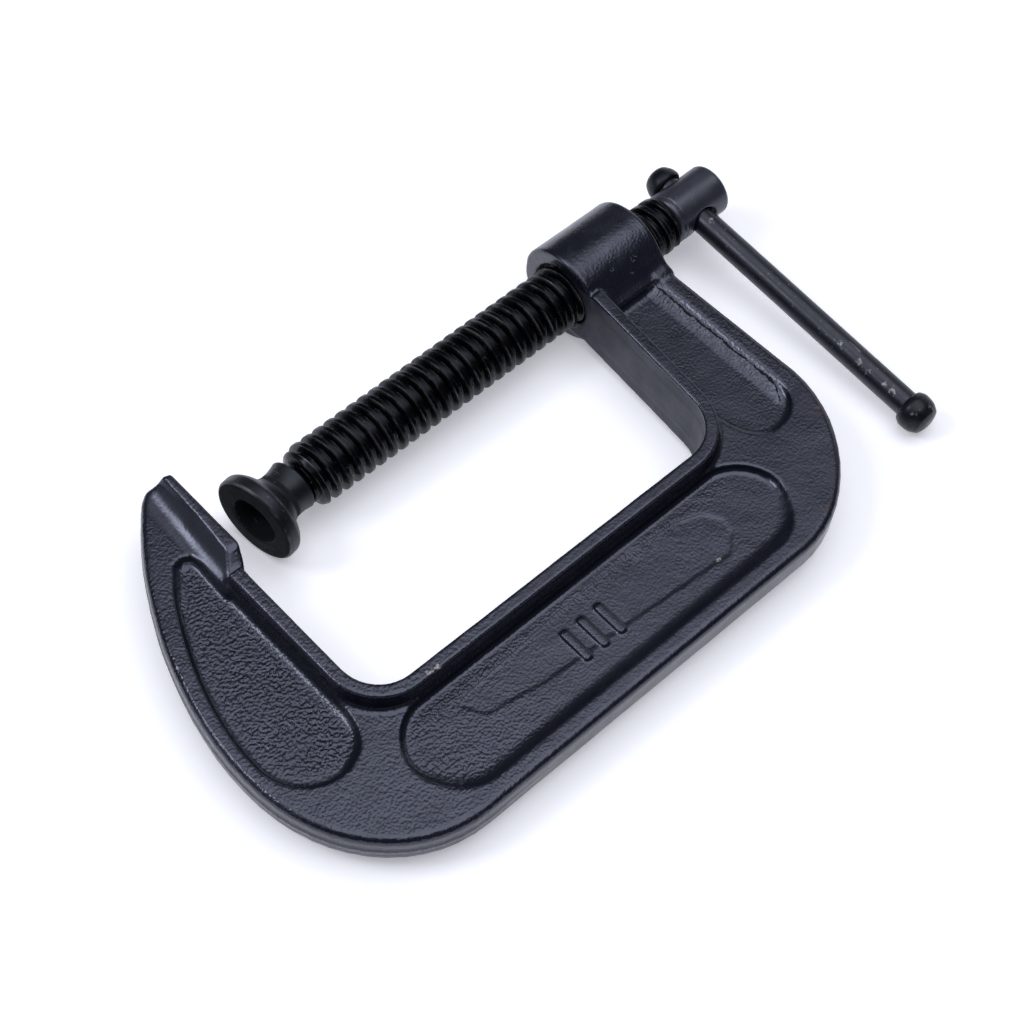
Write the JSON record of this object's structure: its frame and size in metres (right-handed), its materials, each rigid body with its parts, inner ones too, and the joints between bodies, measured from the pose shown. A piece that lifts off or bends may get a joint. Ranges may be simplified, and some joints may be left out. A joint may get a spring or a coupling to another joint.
{
  "type": "c-clamp",
  "caption": "Cast C-clamp with a flanged frame, a coarse clamping screw through a round boss, a loose swivel pad and a sliding tommy bar with end knobs.",
  "frame": {"origin": "centre of the anvil face, on the screw's axis", "axes": "+X along the screw, from the anvil towards the handle; +Y towards the open side of the C; +Z square to the flat sides"},
  "size_m": [0.1707, 0.0959, 0.0224],
  "materials": {
    "painted_casting": "gloss enamel over a rough casting",
    "black_screw": "black oxide, worn on the thread crests",
    "black_pad": "black oxide",
    "black_bar": "black oxide, scratched"
  },
  "bodies": {
    "frame": {"frame": "painted_casting"},
    "pad": {"swivel_pad": "black_pad"},
    "screw": {"clamp_screw": "black_screw"},
    "bar": {"tommy_bar": "black_bar", "bar_knob_far": "black_bar", "bar_knob_near": "black_bar"}
  },
  "joints": [
    {"name": "screw_feed", "type": "slide", "parent": "frame", "child": "pad", "axis": [1, 0, 0], "range_m": [-0.0066, 0.073]},
    {"name": "screw_turn", "type": "hinge", "parent": "pad", "child": "screw", "pos_m": [0.06, 0, 0], "axis": [1, 0, 0], "range_deg": [-790, 8755]},
    {"name": "bar_slide", "type": "slide", "parent": "screw", "child": "bar", "axis": [0, 0.9982, 0.0593], "range_m": [0, 0.0605]}
  ],
  "couplings": [
    {"joint": "screw_feed", "follows": "screw_turn", "m_per_rad": 0.00047746}
  ]
}
